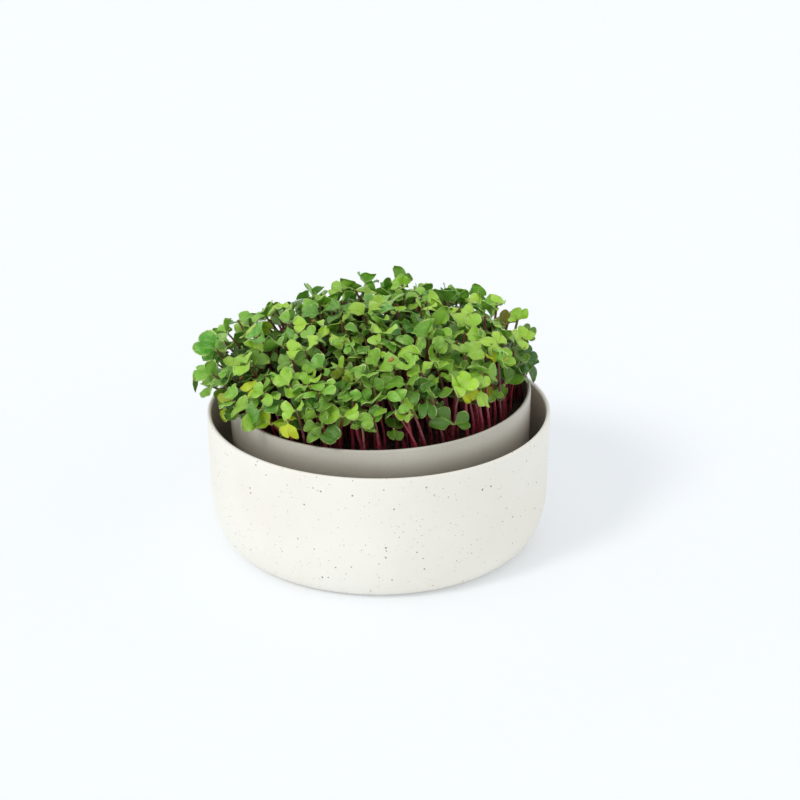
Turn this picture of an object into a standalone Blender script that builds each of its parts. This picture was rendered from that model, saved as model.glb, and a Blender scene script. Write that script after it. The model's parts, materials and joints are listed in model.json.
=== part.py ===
"""Radish microgreens growing in a round inner tray, which stands in a wider speckled bowl.

Metres, +Z up. The origin is the centre of the bowl's flat underside, on the surface it stands on.
The front of the object, where the seedlings stay behind the tray's rim, faces -Y.

The bowl is the water holder. The tray stands in it on its notched foot ring, whose round outer corner
rests in the bowl's rounder inner corner, so that the tray sits a little tilted, as a loose tray does.
The growing medium fills the tray. The seedlings stand in it in bunches. Each bunch shares one root crown,
which sits in a plain hole of the medium, and each seedling is a stem with two notched seed leaves.
"""

import math
import random

import bmesh
import bpy
from mathutils import Matrix, Vector, noise
from mathutils.bvhtree import BVHTree

# Bowl
BOWL_RADIUS = 0.100
BOWL_HEIGHT = 0.0795
BOWL_WALL = 0.0025
BOWL_TAPER = 0.001
BOWL_CORNER_WIDE = 0.0173
BOWL_CORNER_TALL = 0.035
BOWL_FLOOR = 0.004
BOWL_INNER_FLAT = 0.072
BOWL_INNER_CORNER_TALL = 0.037

# Inner tray, in its own frame: z is 0 at the foot ring's underside
TRAY_RADIUS = 0.0878
TRAY_HEIGHT = 0.0832
TRAY_WALL = 0.0022
TRAY_DRAFT = math.radians(2.0)
TRAY_CORNER = 0.005
FOOT_HEIGHT = 0.004
FOOT_WIDTH = 0.003
NOTCH_COUNT = 6
NOTCH_WIDTH = 0.008
NOTCH_HEIGHT = 0.0025
DRAIN_COUNT = 6
DRAIN_RADIUS = 0.003
DRAIN_CIRCLE = 0.045

# Where the tray sits in the bowl
TRAY_TILT = math.radians(1.4)
TRAY_SHIFT = 0.0026
TRAY_SEAT = 0.0080

# Growing medium, in the tray's frame
GAP = 0.0003
MEDIUM_DEPTH_BELOW_RIM = 0.012
MEDIUM_MOUND = 0.002
MEDIUM_ROUGHNESS = 0.0009
MEDIUM_GRAIN = 0.022

# Root crowns, each in its own hole of the medium
CROWN_COUNT = 34
CROWN_FIELD = 0.0762
CROWN_RADIUS = 0.0034
CROWN_TOP_SHARE = 0.8
CROWN_SIDES = 6
CROWN_DEPTH = 0.008
CROWN_PROUD = 0.001
HOLE_MARGIN = 0.0006

# Canopy of leaves: a dome, wider than deep, that hangs lower on its low side and reaches further on the left
CANOPY_TOP = 0.138
CANOPY_FALL = 0.018
CANOPY_LOW_FALL = 0.018
CANOPY_RADIUS = 0.090
CANOPY_WIDE = 1.08
CANOPY_PEAK = (0.0, 0.004)
CANOPY_LOW_SIDE = (-0.10, -0.995)
CANOPY_SPREAD = 0.086
CANOPY_SHIFT = -0.004
CANOPY_LEFT_LEAN = 0.14
CANOPY_FRONT_HOLD = 0.15

# Seedlings. A pair of values is a range to draw from, and stem radii run from root to tip
SEEDLINGS_PER_CROWN = 3
STEM_RADIUS = (0.0011, 0.0008)
STEM_SIDES = 3
STEM_STEPS = 3
STEM_START_DEPTH = 0.0028
STEM_START_OFFSET = 0.0007
STEM_REACH = (0.005, 0.0125)
STEM_FAN = math.radians(52)
STEM_KNEE = (0.04, 0.5)
TIP_DROP = (0.0, 0.005)
TIER_DROP = (0.003, 0.010)
TIP_OVER_RIM = 0.007
LEAF_THICKNESS = 0.0007
LEAF_WIDTH = (0.0130, 0.0175)
LEAF_LENGTH_SHARE = 0.78
SECOND_LEAF_SHARE = (0.78, 0.95)
LEAF_SWING = math.radians(20)
LEAF_RISE = (math.radians(-6), math.radians(50))
LEAF_ROLL = math.radians(22)
LEAF_LEAN = math.radians(30)
LEAF_FOLD = (-0.18, 0.42)
LEAF_CURL = (-0.12, 0.38)
SEEDLING_CLEARANCE = 0.0004
SEEDLING_REACH = 0.055
PLACING_TRIES = 80
SEED = 41

TURN = 2 * math.pi
GOLDEN_ANGLE = math.pi * (3 - math.sqrt(5))
SEGMENTS = 48
RIM_STEPS = 3
CORNER_STEPS = 5
MEDIUM_SEGMENTS = 36
MEDIUM_RINGS = 5


def clear_scene():
    for obj in list(bpy.data.objects):
        bpy.data.objects.remove(obj, do_unlink=True)


def make_material(name, colour, roughness, metallic=0.0):
    material = bpy.data.materials.new(name)
    material.use_nodes = True
    material.diffuse_color = (*colour, 1.0)
    shader = material.node_tree.nodes["Principled BSDF"]
    shader.inputs["Base Color"].default_value = (*colour, 1.0)
    shader.inputs["Roughness"].default_value = roughness
    shader.inputs["Metallic"].default_value = metallic
    return material


def make_materials():
    return {
        "bowl": make_material("speckled_cream", (0.82, 0.80, 0.74), 0.55),
        "tray": make_material("taupe", (0.34, 0.30, 0.26), 0.40),
        "medium": make_material("dark_coir", (0.045, 0.028, 0.018), 0.95),
        "stem": make_material("purple_stem", (0.16, 0.018, 0.045), 0.45),
        "leaf": make_material("leaf_green", (0.10, 0.30, 0.05), 0.50),
    }


def object_from(name, bm, materials, parent=None, collection=None):
    bmesh.ops.recalc_face_normals(bm, faces=bm.faces[:])
    mesh = bpy.data.meshes.new(name)
    bm.to_mesh(mesh)
    bm.free()
    for material in materials:
        mesh.materials.append(material)
    obj = bpy.data.objects.new(name, mesh)
    (collection or bpy.context.scene.collection).objects.link(obj)
    obj.parent = parent
    return obj


def smooth(obj, sharp_degrees=35):
    obj.data.shade_smooth()
    obj.data.set_sharp_from_angle(angle=math.radians(sharp_degrees))


def arc(centre, radii, start, end, steps):
    """Points of an elliptic arc in the (radius, height) plane, from angle start to angle end."""
    angles = [start + (end - start) * k / steps for k in range(steps + 1)]
    return [(centre[0] + radii[0] * math.cos(a), centre[1] + radii[1] * math.sin(a)) for a in angles]


def lathe(profile, segments=SEGMENTS):
    """A closed solid turned about the Z axis from a profile that starts and ends on the axis."""
    bm = bmesh.new()
    points = [bm.verts.new((r, 0.0, z)) for r, z in profile]
    edges = [bm.edges.new(pair) for pair in zip(points, points[1:])]
    bmesh.ops.spin(bm, geom=points + edges, axis=(0, 0, 1), cent=(0, 0, 0), steps=segments, angle=TURN)
    bmesh.ops.remove_doubles(bm, verts=bm.verts[:], dist=1e-6)
    return bm


def bowl_profile():
    """From the centre of the underside, out and up the outside, over the round rim, and down inside."""
    outer_flat = BOWL_RADIUS - BOWL_TAPER - BOWL_CORNER_WIDE
    half = BOWL_WALL / 2
    inner_top = BOWL_RADIUS - BOWL_WALL
    inner_foot = inner_top - BOWL_TAPER
    inner_wide = inner_foot - BOWL_INNER_FLAT
    inner_centre = (BOWL_INNER_FLAT, BOWL_FLOOR + BOWL_INNER_CORNER_TALL)
    outer_radii = (BOWL_CORNER_WIDE, BOWL_CORNER_TALL)
    outside = arc((outer_flat, BOWL_CORNER_TALL), outer_radii, -math.pi / 2, 0, CORNER_STEPS)
    rim = arc((BOWL_RADIUS - half, BOWL_HEIGHT - half), (half, half), 0, math.pi, RIM_STEPS)
    inside = arc(inner_centre, (inner_wide, BOWL_INNER_CORNER_TALL), 0, -math.pi / 2, CORNER_STEPS)
    return [(0, 0)] + outside + rim + inside + [(0, BOWL_FLOOR)]


def tray_radius(z):
    """The outer radius of the tray's straight, slightly drafted wall at height z of the tray's frame."""
    return TRAY_RADIUS - (TRAY_HEIGHT - z) * math.tan(TRAY_DRAFT)


def tray_profile():
    """From the centre of the floor's underside, down over the foot ring, up the wall, and down inside."""
    half = TRAY_WALL / 2
    corner_centre = (tray_radius(TRAY_CORNER) - TRAY_CORNER, TRAY_CORNER)
    foot_inner = corner_centre[0] - FOOT_WIDTH
    floor_top = FOOT_HEIGHT + TRAY_WALL
    inner_corner = TRAY_CORNER - TRAY_WALL / 2
    inner_foot = tray_radius(floor_top + inner_corner) - TRAY_WALL
    inner_centre = (inner_foot - inner_corner, floor_top + inner_corner)
    foot = [(foot_inner - half, FOOT_HEIGHT), (foot_inner, 0)]
    corner = arc(corner_centre, (TRAY_CORNER, TRAY_CORNER), -math.pi / 2, 0, RIM_STEPS)
    rim = arc((TRAY_RADIUS - half, TRAY_HEIGHT - half), (half, half), 0, math.pi, RIM_STEPS)
    inside = arc(inner_centre, (inner_corner, inner_corner), 0, -math.pi / 2, 2)
    return [(0, FOOT_HEIGHT)] + foot + corner + rim + inside + [(0, floor_top)]


def cylinder_cutter(bm, x, y, low, high, radius, sides):
    """Adds an upright prism to bm."""
    middle = Matrix.Translation((x, y, (low + high) / 2))
    bmesh.ops.create_cone(
        bm, cap_ends=True, segments=sides, radius1=radius, radius2=radius, depth=high - low, matrix=middle
    )


def cut(obj, bm, name):
    """Cuts the bodies in bm out of obj."""
    cutter = object_from(name, bm, [], parent=obj.parent)
    cutter.hide_render = True
    cutter.display_type = "WIRE"
    modifier = obj.modifiers.new(name, "BOOLEAN")
    modifier.operation = "DIFFERENCE"
    modifier.object = cutter


def make_bowl(materials):
    bowl = object_from("outer_bowl", lathe(bowl_profile()), [materials["bowl"]])
    smooth(bowl)
    return bowl


def make_tray(materials, seat):
    """The tray, with drain holes in its floor and notches that let water under the foot ring."""
    tray = object_from("inner_tray", lathe(tray_profile()), [materials["tray"]], parent=seat)
    drains = bmesh.new()
    spots = [(0.0, 0.0)]
    for k in range(DRAIN_COUNT):
        a = TURN * (k + 0.5) / DRAIN_COUNT
        spots.append((DRAIN_CIRCLE * math.cos(a), DRAIN_CIRCLE * math.sin(a)))
    for x, y in spots:
        cylinder_cutter(drains, x, y, 0.0, 3 * FOOT_HEIGHT, DRAIN_RADIUS, 8)
    notches = bmesh.new()
    ring = tray_radius(0)
    for k in range(NOTCH_COUNT):
        a = TURN * (k + 0.5) / NOTCH_COUNT
        place = Matrix.Rotation(a, 4, "Z") @ Matrix.Translation((ring - TRAY_CORNER, 0, 0))
        size = Matrix.Diagonal((4 * TRAY_CORNER, NOTCH_WIDTH, 2 * NOTCH_HEIGHT, 1))
        bmesh.ops.create_cube(notches, size=1.0, matrix=place @ size)
    cut(tray, drains, "drain_cutter")
    cut(tray, notches, "notch_cutter")
    smooth(tray)
    return tray


def medium_height(x, y):
    """Height of the growing medium's surface in the tray's frame: a low mound with soft lumps."""
    share = min(1.0, math.hypot(x, y) / TRAY_RADIUS)
    lump = noise.noise(Vector((x, y, 0.0)) / MEDIUM_GRAIN)
    level = TRAY_HEIGHT - MEDIUM_DEPTH_BELOW_RIM
    return level + MEDIUM_MOUND * (1 - share * share) + MEDIUM_ROUGHNESS * lump


def make_medium(materials, seat, crowns):
    """The growing medium: it fills the tray with a gap of GAP, and has one plain hole for each root crown."""
    floor_top = FOOT_HEIGHT + TRAY_WALL + GAP
    level = TRAY_HEIGHT - MEDIUM_DEPTH_BELOW_RIM
    edge = tray_radius(level) - TRAY_WALL - 2 * GAP
    foot = tray_radius(floor_top + TRAY_CORNER) - TRAY_WALL - 2 * GAP
    surface = [(edge * k / MEDIUM_RINGS, level) for k in range(MEDIUM_RINGS, -1, -1)]
    profile = [(0, floor_top), (foot - TRAY_CORNER, floor_top), (foot, floor_top + TRAY_CORNER)] + surface
    bm = lathe(profile, MEDIUM_SEGMENTS)
    for vert in bm.verts:
        if abs(vert.co.z - level) < 1e-6:
            vert.co.z = medium_height(vert.co.x, vert.co.y)
    medium = object_from("growing_medium", bm, [materials["medium"]], parent=seat)
    holes = bmesh.new()
    for x, y in crowns:
        surface_z = medium_height(x, y)
        radius = CROWN_RADIUS + HOLE_MARGIN
        low = surface_z - CROWN_DEPTH - HOLE_MARGIN
        cylinder_cutter(holes, x, y, low, surface_z + 3 * CROWN_PROUD, radius, CROWN_SIDES)
    cut(medium, holes, "root_hole_cutter")
    smooth(medium, 50)
    return medium


def crown_spots():
    """Root crowns spread evenly over the medium, on a golden-angle spiral."""
    spots = []
    for k in range(CROWN_COUNT):
        r = CROWN_FIELD * math.sqrt((k + 0.5) / CROWN_COUNT)
        spots.append((r * math.cos(k * GOLDEN_ANGLE), r * math.sin(k * GOLDEN_ANGLE)))
    return spots


def canopy_height(x, y):
    """Height of the leaf canopy's top in the tray's frame: a low dome that falls further on its low side."""
    share = math.hypot((x - CANOPY_PEAK[0]) / CANOPY_WIDE, y - CANOPY_PEAK[1]) / CANOPY_RADIUS
    low = max(0.0, x * CANOPY_LOW_SIDE[0] + y * CANOPY_LOW_SIDE[1]) / CANOPY_RADIUS
    return CANOPY_TOP - TRAY_SEAT - CANOPY_FALL * share**2 - CANOPY_LOW_FALL * low**2


def stem_path(base, tip):
    """Points of a stem that rises straight out of the medium and then leans over to its tip."""
    knee = Vector((*base.lerp(tip, STEM_KNEE[0]).xy, base.lerp(tip, STEM_KNEE[1]).z))
    points = []
    for k in range(STEM_STEPS + 1):
        t = k / STEM_STEPS
        points.append(base * (1 - t) ** 2 + knee * 2 * t * (1 - t) + tip * t * t)
    return points


def tube(path, radii, sides, phase, grow=0.0):
    """A closed tapered tube along path, which runs mostly upward: (points, faces)."""
    points, faces = [], []
    last = len(path) - 1
    for k, centre in enumerate(path):
        radius = radii[0] + (radii[1] - radii[0]) * k / last + grow
        for s in range(sides):
            a = phase + TURN * s / sides
            points.append(centre + Vector((radius * math.cos(a), radius * math.sin(a), 0)))
    for k in range(last):
        for s in range(sides):
            t = (s + 1) % sides
            faces.append((k * sides + s, k * sides + t, (k + 1) * sides + t, (k + 1) * sides + s))
    faces.append(tuple(reversed(range(sides))))
    faces.append(tuple(last * sides + s for s in range(sides)))
    return points, faces


# A seed leaf's outline, right half, from its base to its notch: (share of length, share of half width)
LEAF_BASE = (-0.02, 0.0)
LEAF_SIDE = ((0.34, 0.70), (0.72, 1.0), (1.0, 0.50))
LEAF_NOTCH = (0.78, 0.0)
# The same triangles cover its upper and its lower face
LEAF_TRIANGLES = ((0, 1, 7), (1, 2, 4), (2, 3, 4), (1, 4, 7), (7, 4, 6), (4, 5, 6))


def leaf_frame(root, spec):
    """A frame with X along the leaf, Y across it and Z its upper side, which leans out with the seedling."""
    away = root.xy.length / CANOPY_RADIUS
    lean = Matrix.Rotation(LEAF_LEAN * min(1.0, away), 4, Vector((-root.y, root.x, 0.0)))
    turn = Matrix.Rotation(spec["azimuth"], 4, "Z") @ Matrix.Rotation(-spec["rise"], 4, "Y")
    return Matrix.Translation(root) @ lean @ turn @ Matrix.Rotation(spec["roll"], 4, "X")


def leaf(root, spec, grow=0.0):
    """A seed leaf as a thin closed blade with a notched end, folded along its middle: (points, faces)."""
    half = spec["width"] / 2
    length = spec["width"] * LEAF_LENGTH_SHARE
    outline = [LEAF_BASE, *LEAF_SIDE, LEAF_NOTCH]
    outline += [(u, -v) for u, v in reversed(LEAF_SIDE)]
    frame = leaf_frame(root, spec)
    lift = LEAF_THICKNESS / 2 + grow
    points = []
    for side in (lift, -lift):
        for u, v in outline:
            z = half * (spec["fold"] * abs(v) - spec["curl"] * u * u)
            points.append(frame @ Vector((u * (length + grow), v * (half + grow), z + side)))
    count = len(outline)
    faces = list(LEAF_TRIANGLES) + [tuple(count + i for i in reversed(face)) for face in LEAF_TRIANGLES]
    faces += [(k, count + k, count + (k + 1) % count, (k + 1) % count) for k in range(count)]
    return points, faces


def draw_leaf(rng, azimuth, width):
    return {
        "azimuth": azimuth,
        "rise": rng.uniform(*LEAF_RISE),
        "roll": rng.uniform(-LEAF_ROLL, LEAF_ROLL),
        "width": width,
        "fold": rng.uniform(*LEAF_FOLD),
        "curl": rng.uniform(*LEAF_CURL),
    }


def draw_seedling(rng, crown, tier):
    """One random seedling of a crown: where its stem runs and how its two leaves stand."""
    bearing = Vector(crown).normalized()
    away = Vector(crown).length / CROWN_FIELD
    fan = math.atan2(crown[1], crown[0]) + math.pi / 2 + TURN * tier / SEEDLINGS_PER_CROWN
    fan += rng.uniform(-STEM_FAN, STEM_FAN)
    outward = Vector((math.cos(fan), math.sin(fan)))
    spread = 1 + CANOPY_LEFT_LEAN * away * max(0.0, -bearing.x) - CANOPY_FRONT_HOLD * max(0.0, -bearing.y)
    spread *= CANOPY_SPREAD / CROWN_FIELD
    top = Vector(crown) * spread + outward * rng.uniform(*STEM_REACH) + Vector((CANOPY_SHIFT * away, 0))
    drop = rng.uniform(*TIP_DROP) + tier * rng.uniform(*TIER_DROP)
    foot = Vector(crown) + outward * STEM_START_OFFSET
    azimuth = rng.uniform(0, TURN)
    width = rng.uniform(*LEAF_WIDTH)
    opposite = azimuth + math.pi + rng.uniform(-LEAF_SWING, LEAF_SWING)
    return {
        "base": Vector((*foot, medium_height(*crown) - STEM_START_DEPTH)),
        "tip": Vector((*top, max(TRAY_HEIGHT + TIP_OVER_RIM, canopy_height(*top) - drop))),
        "phase": rng.uniform(0, TURN),
        "leaves": [
            draw_leaf(rng, azimuth, width),
            draw_leaf(rng, opposite, width * rng.uniform(*SECOND_LEAF_SHARE)),
        ],
    }


def seedling_bodies(plan, grow=0.0):
    """The stem and the two leaves of one seedling, as [(points, faces)]."""
    stem = tube(stem_path(plan["base"], plan["tip"]), STEM_RADIUS, STEM_SIDES, plan["phase"], grow)
    root = plan["tip"] - Vector((0, 0, STEM_RADIUS[1]))
    return [stem] + [leaf(root, spec, grow) for spec in plan["leaves"]]


def tree_of(bodies):
    points, faces = [], []
    for body_points, body_faces in bodies:
        start = len(points)
        points += body_points
        faces += [tuple(start + i for i in face) for face in body_faces]
    return BVHTree.FromPolygons(points, faces)


def tree_of_profile(profile, matrix):
    """The turned surface of a profile as an obstacle, placed by matrix."""
    bm = lathe(profile)
    bm.transform(matrix)
    tree = BVHTree.FromBMesh(bm)
    bm.free()
    return tree


def plan_seedlings(crowns, obstacles):
    """Draws each crown's seedlings, tier by tier, so that no leaf meets another seedling or a rim.

    A draw that meets something is drawn again, and a seedling that finds no free place is left out.
    """
    rng = random.Random(SEED)
    placed = []
    plans = [[] for _ in crowns]
    for tier in range(SEEDLINGS_PER_CROWN):
        for index, crown in enumerate(crowns):
            for _ in range(PLACING_TRIES):
                plan = draw_seedling(rng, crown, tier)
                stem, *leaves = seedling_bodies(plan, SEEDLING_CLEARANCE)
                leaf_tree, stem_tree = tree_of(leaves), tree_of([stem])
                if any(tree.overlap(leaf_tree) or tree.overlap(stem_tree) for tree in obstacles):
                    continue
                near = [other for other in placed if (other[1] - plan["tip"]).xy.length < SEEDLING_REACH]
                if any(leaf_tree.overlap(tree) for *_, leaves, stem in near for tree in (leaves, stem)):
                    continue
                if any(stem_tree.overlap(leaves) for *_, leaves, _ in near):
                    continue
                if any(stem_tree.overlap(stem) for owner, _, _, stem in near if owner != index):
                    continue
                placed.append((index, plan["tip"], leaf_tree, stem_tree))
                plans[index].append(plan)
                break
    return plans


def body_object(name, body, materials, collection):
    points, faces = body
    bm = bmesh.new()
    verts = [bm.verts.new(point) for point in points]
    for face in faces:
        bm.faces.new([verts[i] for i in face])
    return object_from(name, bm, materials, collection=collection)


def crown_body(crown):
    """The root crown: a short tapered plug that the stems rise from."""
    x, y = crown
    surface_z = medium_height(x, y)
    path = [Vector((x, y, surface_z - CROWN_DEPTH)), Vector((x, y, surface_z + CROWN_PROUD))]
    return tube(path, (CROWN_RADIUS, CROWN_TOP_SHARE * CROWN_RADIUS), CROWN_SIDES, math.pi / 2)


def make_seedlings(name, crown, plans, materials, seat):
    """One node: a root crown with the stems and leaves of its seedlings, joined into one body."""
    parts = bpy.data.collections.new(name + "_parts")
    bpy.context.scene.collection.children.link(parts)
    for plan in plans:
        stem, *leaves = seedling_bodies(plan)
        body_object(name + "_stem", stem, [materials["stem"]], parts)
        for blade in leaves:
            body_object(name + "_leaf", blade, [materials["leaf"]], parts)
    node = body_object(name, crown_body(crown), [materials["stem"], materials["leaf"]], None)
    join = node.modifiers.new("join", "BOOLEAN")
    join.operation = "UNION"
    join.operand_type = "COLLECTION"
    join.collection = parts
    join.material_mode = "TRANSFER"
    graph = bpy.context.evaluated_depsgraph_get()
    joined = bpy.data.meshes.new_from_object(node.evaluated_get(graph))
    node.modifiers.clear()
    node.data = joined
    for obj in list(parts.objects):
        bpy.data.objects.remove(obj, do_unlink=True)
    bpy.data.collections.remove(parts)
    node.parent = seat
    return node


def main():
    clear_scene()
    materials = make_materials()
    seat = bpy.data.objects.new("tray_seat", None)
    bpy.context.scene.collection.objects.link(seat)
    seat.location = (TRAY_SHIFT, 0, TRAY_SEAT)
    seat.rotation_euler = (0, -TRAY_TILT, 0)
    bpy.context.view_layer.update()

    make_bowl(materials)
    make_tray(materials, seat)
    crowns = crown_spots()
    make_medium(materials, seat, crowns)
    into_tray = seat.matrix_world.inverted()
    obstacles = [
        tree_of_profile(bowl_profile(), into_tray),
        tree_of_profile(tray_profile(), Matrix.Identity(4)),
    ]
    plans = plan_seedlings(crowns, obstacles)
    for index, crown in enumerate(crowns):
        make_seedlings(f"seedlings_{index + 1:02d}", crown, plans[index], materials, seat)


main()
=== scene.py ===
"""The looks of the radish microgreens: bowl, tray, growing medium and a dense canopy of seedlings.

Metres, +Z up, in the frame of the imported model. The seedlings that the solids hold are drawn again by the
same rule and seed, with finer stems and leaves, and many more stand between them.
"""

import json
import math
import random

import bmesh
import bpy
import numpy as np
from mathutils import Matrix, Vector, noise
from mathutils.bvhtree import BVHTree

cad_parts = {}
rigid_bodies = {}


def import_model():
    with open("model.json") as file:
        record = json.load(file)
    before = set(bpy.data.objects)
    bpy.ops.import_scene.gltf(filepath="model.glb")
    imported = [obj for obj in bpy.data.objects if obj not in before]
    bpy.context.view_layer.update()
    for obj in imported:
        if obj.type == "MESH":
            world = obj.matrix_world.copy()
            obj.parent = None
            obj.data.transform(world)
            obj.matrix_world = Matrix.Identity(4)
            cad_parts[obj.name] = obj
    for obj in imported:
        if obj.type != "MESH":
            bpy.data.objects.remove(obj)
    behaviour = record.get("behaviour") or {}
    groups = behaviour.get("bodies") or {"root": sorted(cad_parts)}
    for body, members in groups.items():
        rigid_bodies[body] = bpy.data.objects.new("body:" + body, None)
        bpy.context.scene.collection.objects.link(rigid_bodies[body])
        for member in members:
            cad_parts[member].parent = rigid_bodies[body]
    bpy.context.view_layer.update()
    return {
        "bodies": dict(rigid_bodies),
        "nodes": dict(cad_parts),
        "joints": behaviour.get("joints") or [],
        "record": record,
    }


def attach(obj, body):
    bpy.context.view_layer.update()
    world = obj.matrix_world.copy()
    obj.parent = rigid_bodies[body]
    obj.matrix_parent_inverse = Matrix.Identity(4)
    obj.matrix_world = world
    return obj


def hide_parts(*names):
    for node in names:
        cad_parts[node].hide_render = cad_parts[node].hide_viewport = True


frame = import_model()
BODY = "root"
TURN = 2 * math.pi
GOLDEN_ANGLE = math.pi * (3 - math.sqrt(5))

# Bowl, as in the solids
BOWL_RADIUS = 0.100
BOWL_HEIGHT = 0.0795
BOWL_WALL = 0.0025
BOWL_TAPER = 0.001
BOWL_CORNER_WIDE = 0.0173
BOWL_CORNER_TALL = 0.035
BOWL_FLOOR = 0.004
BOWL_INNER_FLAT = 0.072
BOWL_INNER_CORNER_TALL = 0.037

# Inner tray, as in the solids, in its own frame
TRAY_RADIUS = 0.0878
TRAY_HEIGHT = 0.0832
TRAY_WALL = 0.0022
TRAY_DRAFT = math.radians(2.0)
TRAY_CORNER = 0.005
FOOT_HEIGHT = 0.004
FOOT_WIDTH = 0.003
NOTCH_COUNT = 6
NOTCH_WIDTH = 0.008
NOTCH_HEIGHT = 0.0025
DRAIN_COUNT = 6
DRAIN_RADIUS = 0.003
DRAIN_CIRCLE = 0.045
TRAY_TILT = math.radians(1.4)
TRAY_SHIFT = 0.0026
TRAY_SEAT = 0.0080
SEAT = Matrix.Translation((TRAY_SHIFT, 0, TRAY_SEAT)) @ Matrix.Rotation(-TRAY_TILT, 4, "Y")

# The height over which painted shade darkens the taupe walls, low down in the shaded gap between bowl and
# tray
PAINTED_SHADE_BAND = (0.072, 0.089)

# Growing medium, as in the solids
GAP = 0.0003
MEDIUM_DEPTH_BELOW_RIM = 0.012
MEDIUM_MOUND = 0.002
MEDIUM_ROUGHNESS = 0.0009
MEDIUM_GRAIN = 0.022
CRUMB_HEIGHT = 0.00055
CRUMB_GRAIN = 330.0
CLOD_HEIGHT = 0.0012
CLOD_GRAIN = 120.0
CRUMB_SINK = 0.0003

# How finely the round pieces are drawn: steps at corner, rim and wall, and segments around
BOWL_STEPS = (20, 12, 6)
BOWL_SEGMENTS = 256
TRAY_STEPS = (8, 12, 6, 5)
TRAY_SEGMENTS = 224
DRAIN_SIDES = 28
MEDIUM_RINGS = 84
MEDIUM_SEGMENTS = 240
FLAT_STEPS = 4
COARSE_BOWL_STEPS = (5, 3, 1)
COARSE_TRAY_STEPS = (3, 3, 2, 1)
COARSE_SEGMENTS = 48

# The seedlings of the solids: the same rule and the same draws
CROWN_COUNT = 34
CROWN_FIELD = 0.0762
CANOPY_TOP = 0.138
CANOPY_FALL = 0.018
CANOPY_LOW_FALL = 0.018
CANOPY_RADIUS = 0.090
CANOPY_WIDE = 1.08
CANOPY_PEAK = (0.0, 0.004)
CANOPY_LOW_SIDE = (-0.10, -0.995)
CANOPY_SPREAD = 0.086
CANOPY_SHIFT = -0.004
CANOPY_LEFT_LEAN = 0.14
CANOPY_FRONT_HOLD = 0.15
SEEDLINGS_PER_CROWN = 3
STEM_RADIUS = (0.0011, 0.0008)
STEM_SIDES = 3
STEM_STEPS = 3
STEM_START_DEPTH = 0.0028
STEM_START_OFFSET = 0.0007
STEM_REACH = (0.005, 0.0125)
STEM_FAN = math.radians(52)
STEM_KNEE = (0.04, 0.5)
TIP_DROP = (0.0, 0.005)
TIER_DROP = (0.003, 0.010)
TIP_OVER_RIM = 0.007
LEAF_THICKNESS = 0.0007
LEAF_WIDTH = (0.0130, 0.0175)
LEAF_LENGTH_SHARE = 0.78
SECOND_LEAF_SHARE = (0.78, 0.95)
LEAF_SWING = math.radians(20)
LEAF_RISE = (math.radians(-6), math.radians(50))
LEAF_ROLL = math.radians(22)
LEAF_LEAN = math.radians(30)
LEAF_FOLD = (-0.18, 0.42)
LEAF_CURL = (-0.12, 0.38)
SEEDLING_CLEARANCE = 0.0004
SEEDLING_REACH = 0.055
PLACING_TRIES = 80
SEED = 41

# The seedlings between them. The leaves of the solids are larger than life, so that few cover the canopy
CROWN_LEAF_SHARE = 0.90
FILLER_COUNT = 1200
FILLER_FIELD = 0.0818
FILLER_JITTER = 0.0012
FILLER_CLEARANCE = -0.0003
FILLER_TRIES = 26
FILLER_START_DEPTH = 0.002
FILLER_SWING = 1.3
CROWN_KEEP_OUT = 0.0030
FILLER_REACH = (0.0, 0.008)
FILLER_DROP = 0.027
FILLER_DROP_POWER = 1.4
FILLER_FRONT_LIFT = 0.75
FILLER_WIDTH = (0.0094, 0.0148)
FILLER_FOLD = (-0.35, 0.60)
FILLER_CURL = (-0.25, 0.60)
FILLER_RISE = (math.radians(-20), math.radians(55))
FILLER_ROLL = math.radians(40)

# Fine stems and leaves
FINE_STEM_SIDES = 8
FINE_STEM_STEPS = 11
FINE_STEM_RADIUS = (0.00098, 0.00072)
FINE_STEM_WAVER = 0.0009
LEAF_ROWS = 12
LEAF_COLUMNS = 4
NET_COLUMNS = 2 * LEAF_COLUMNS + 1
LEAF_SKEW = 0.14
LEAF_CUP = (-0.90, 1.00)
LEAF_WAVES = (1.2, 2.8)
WAVE_HEIGHT = (0.08, 0.32)
LEAF_TWIST = 0.50
LOBE_BEND = (-0.9, 1.8)
LOBE_UNEVEN = 0.9
STRONG_FOLD_SHARE = 0.16
STRONG_FOLD = (0.35, 0.85)
STRONG_CURL_SHARE = 0.22
STRONG_CURL = (0.45, 0.95)
BLADE_THICKNESS = 0.00042
STALK_THICKNESS = 0.0011
STALK_SHARE = 0.20

# How light a leaf is: its draw, painted shade deep in the canopy and painted light at the canopy's sides
SHADE_DEPTH = 0.019
LEAF_LIGHT = (0.42, 0.80)
SIDE_LIGHT = 0.30

# Seed husks that cling to some leaves, and a few pale seeds, at chosen rows and columns of a leaf's net
HUSK_SHARE = 0.013
PALE_SEED_SHARE = 0.25
HUSK_SIZE = (0.0021, 0.0016, 0.0012)
HUSK_WALL = 0.80
HUSK_ROWS = 5
HUSK_SIDES = 12
HUSK_SPOTS = [row * NET_COLUMNS + column for row in (5, 7) for column in (2, 6)]

# Leaves that turned yellow or bronze
TURNED_SHARE = 0.035
TURNED_SHARE_RIGHT = 0.11
TURNED_RIGHT_X = 0.045
TURNED_TONE = (0.10, 0.40)
TURNED_TONE_RIGHT = (0.10, 0.85)

# Marks of the placed seedlings: crowns count up from 0, those between them count down from -1, and strays
# count down from this one
FIRST_STRAY = -10000

# The material slots of a bunch
STEM, LEAF, HUSK = range(3)

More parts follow.
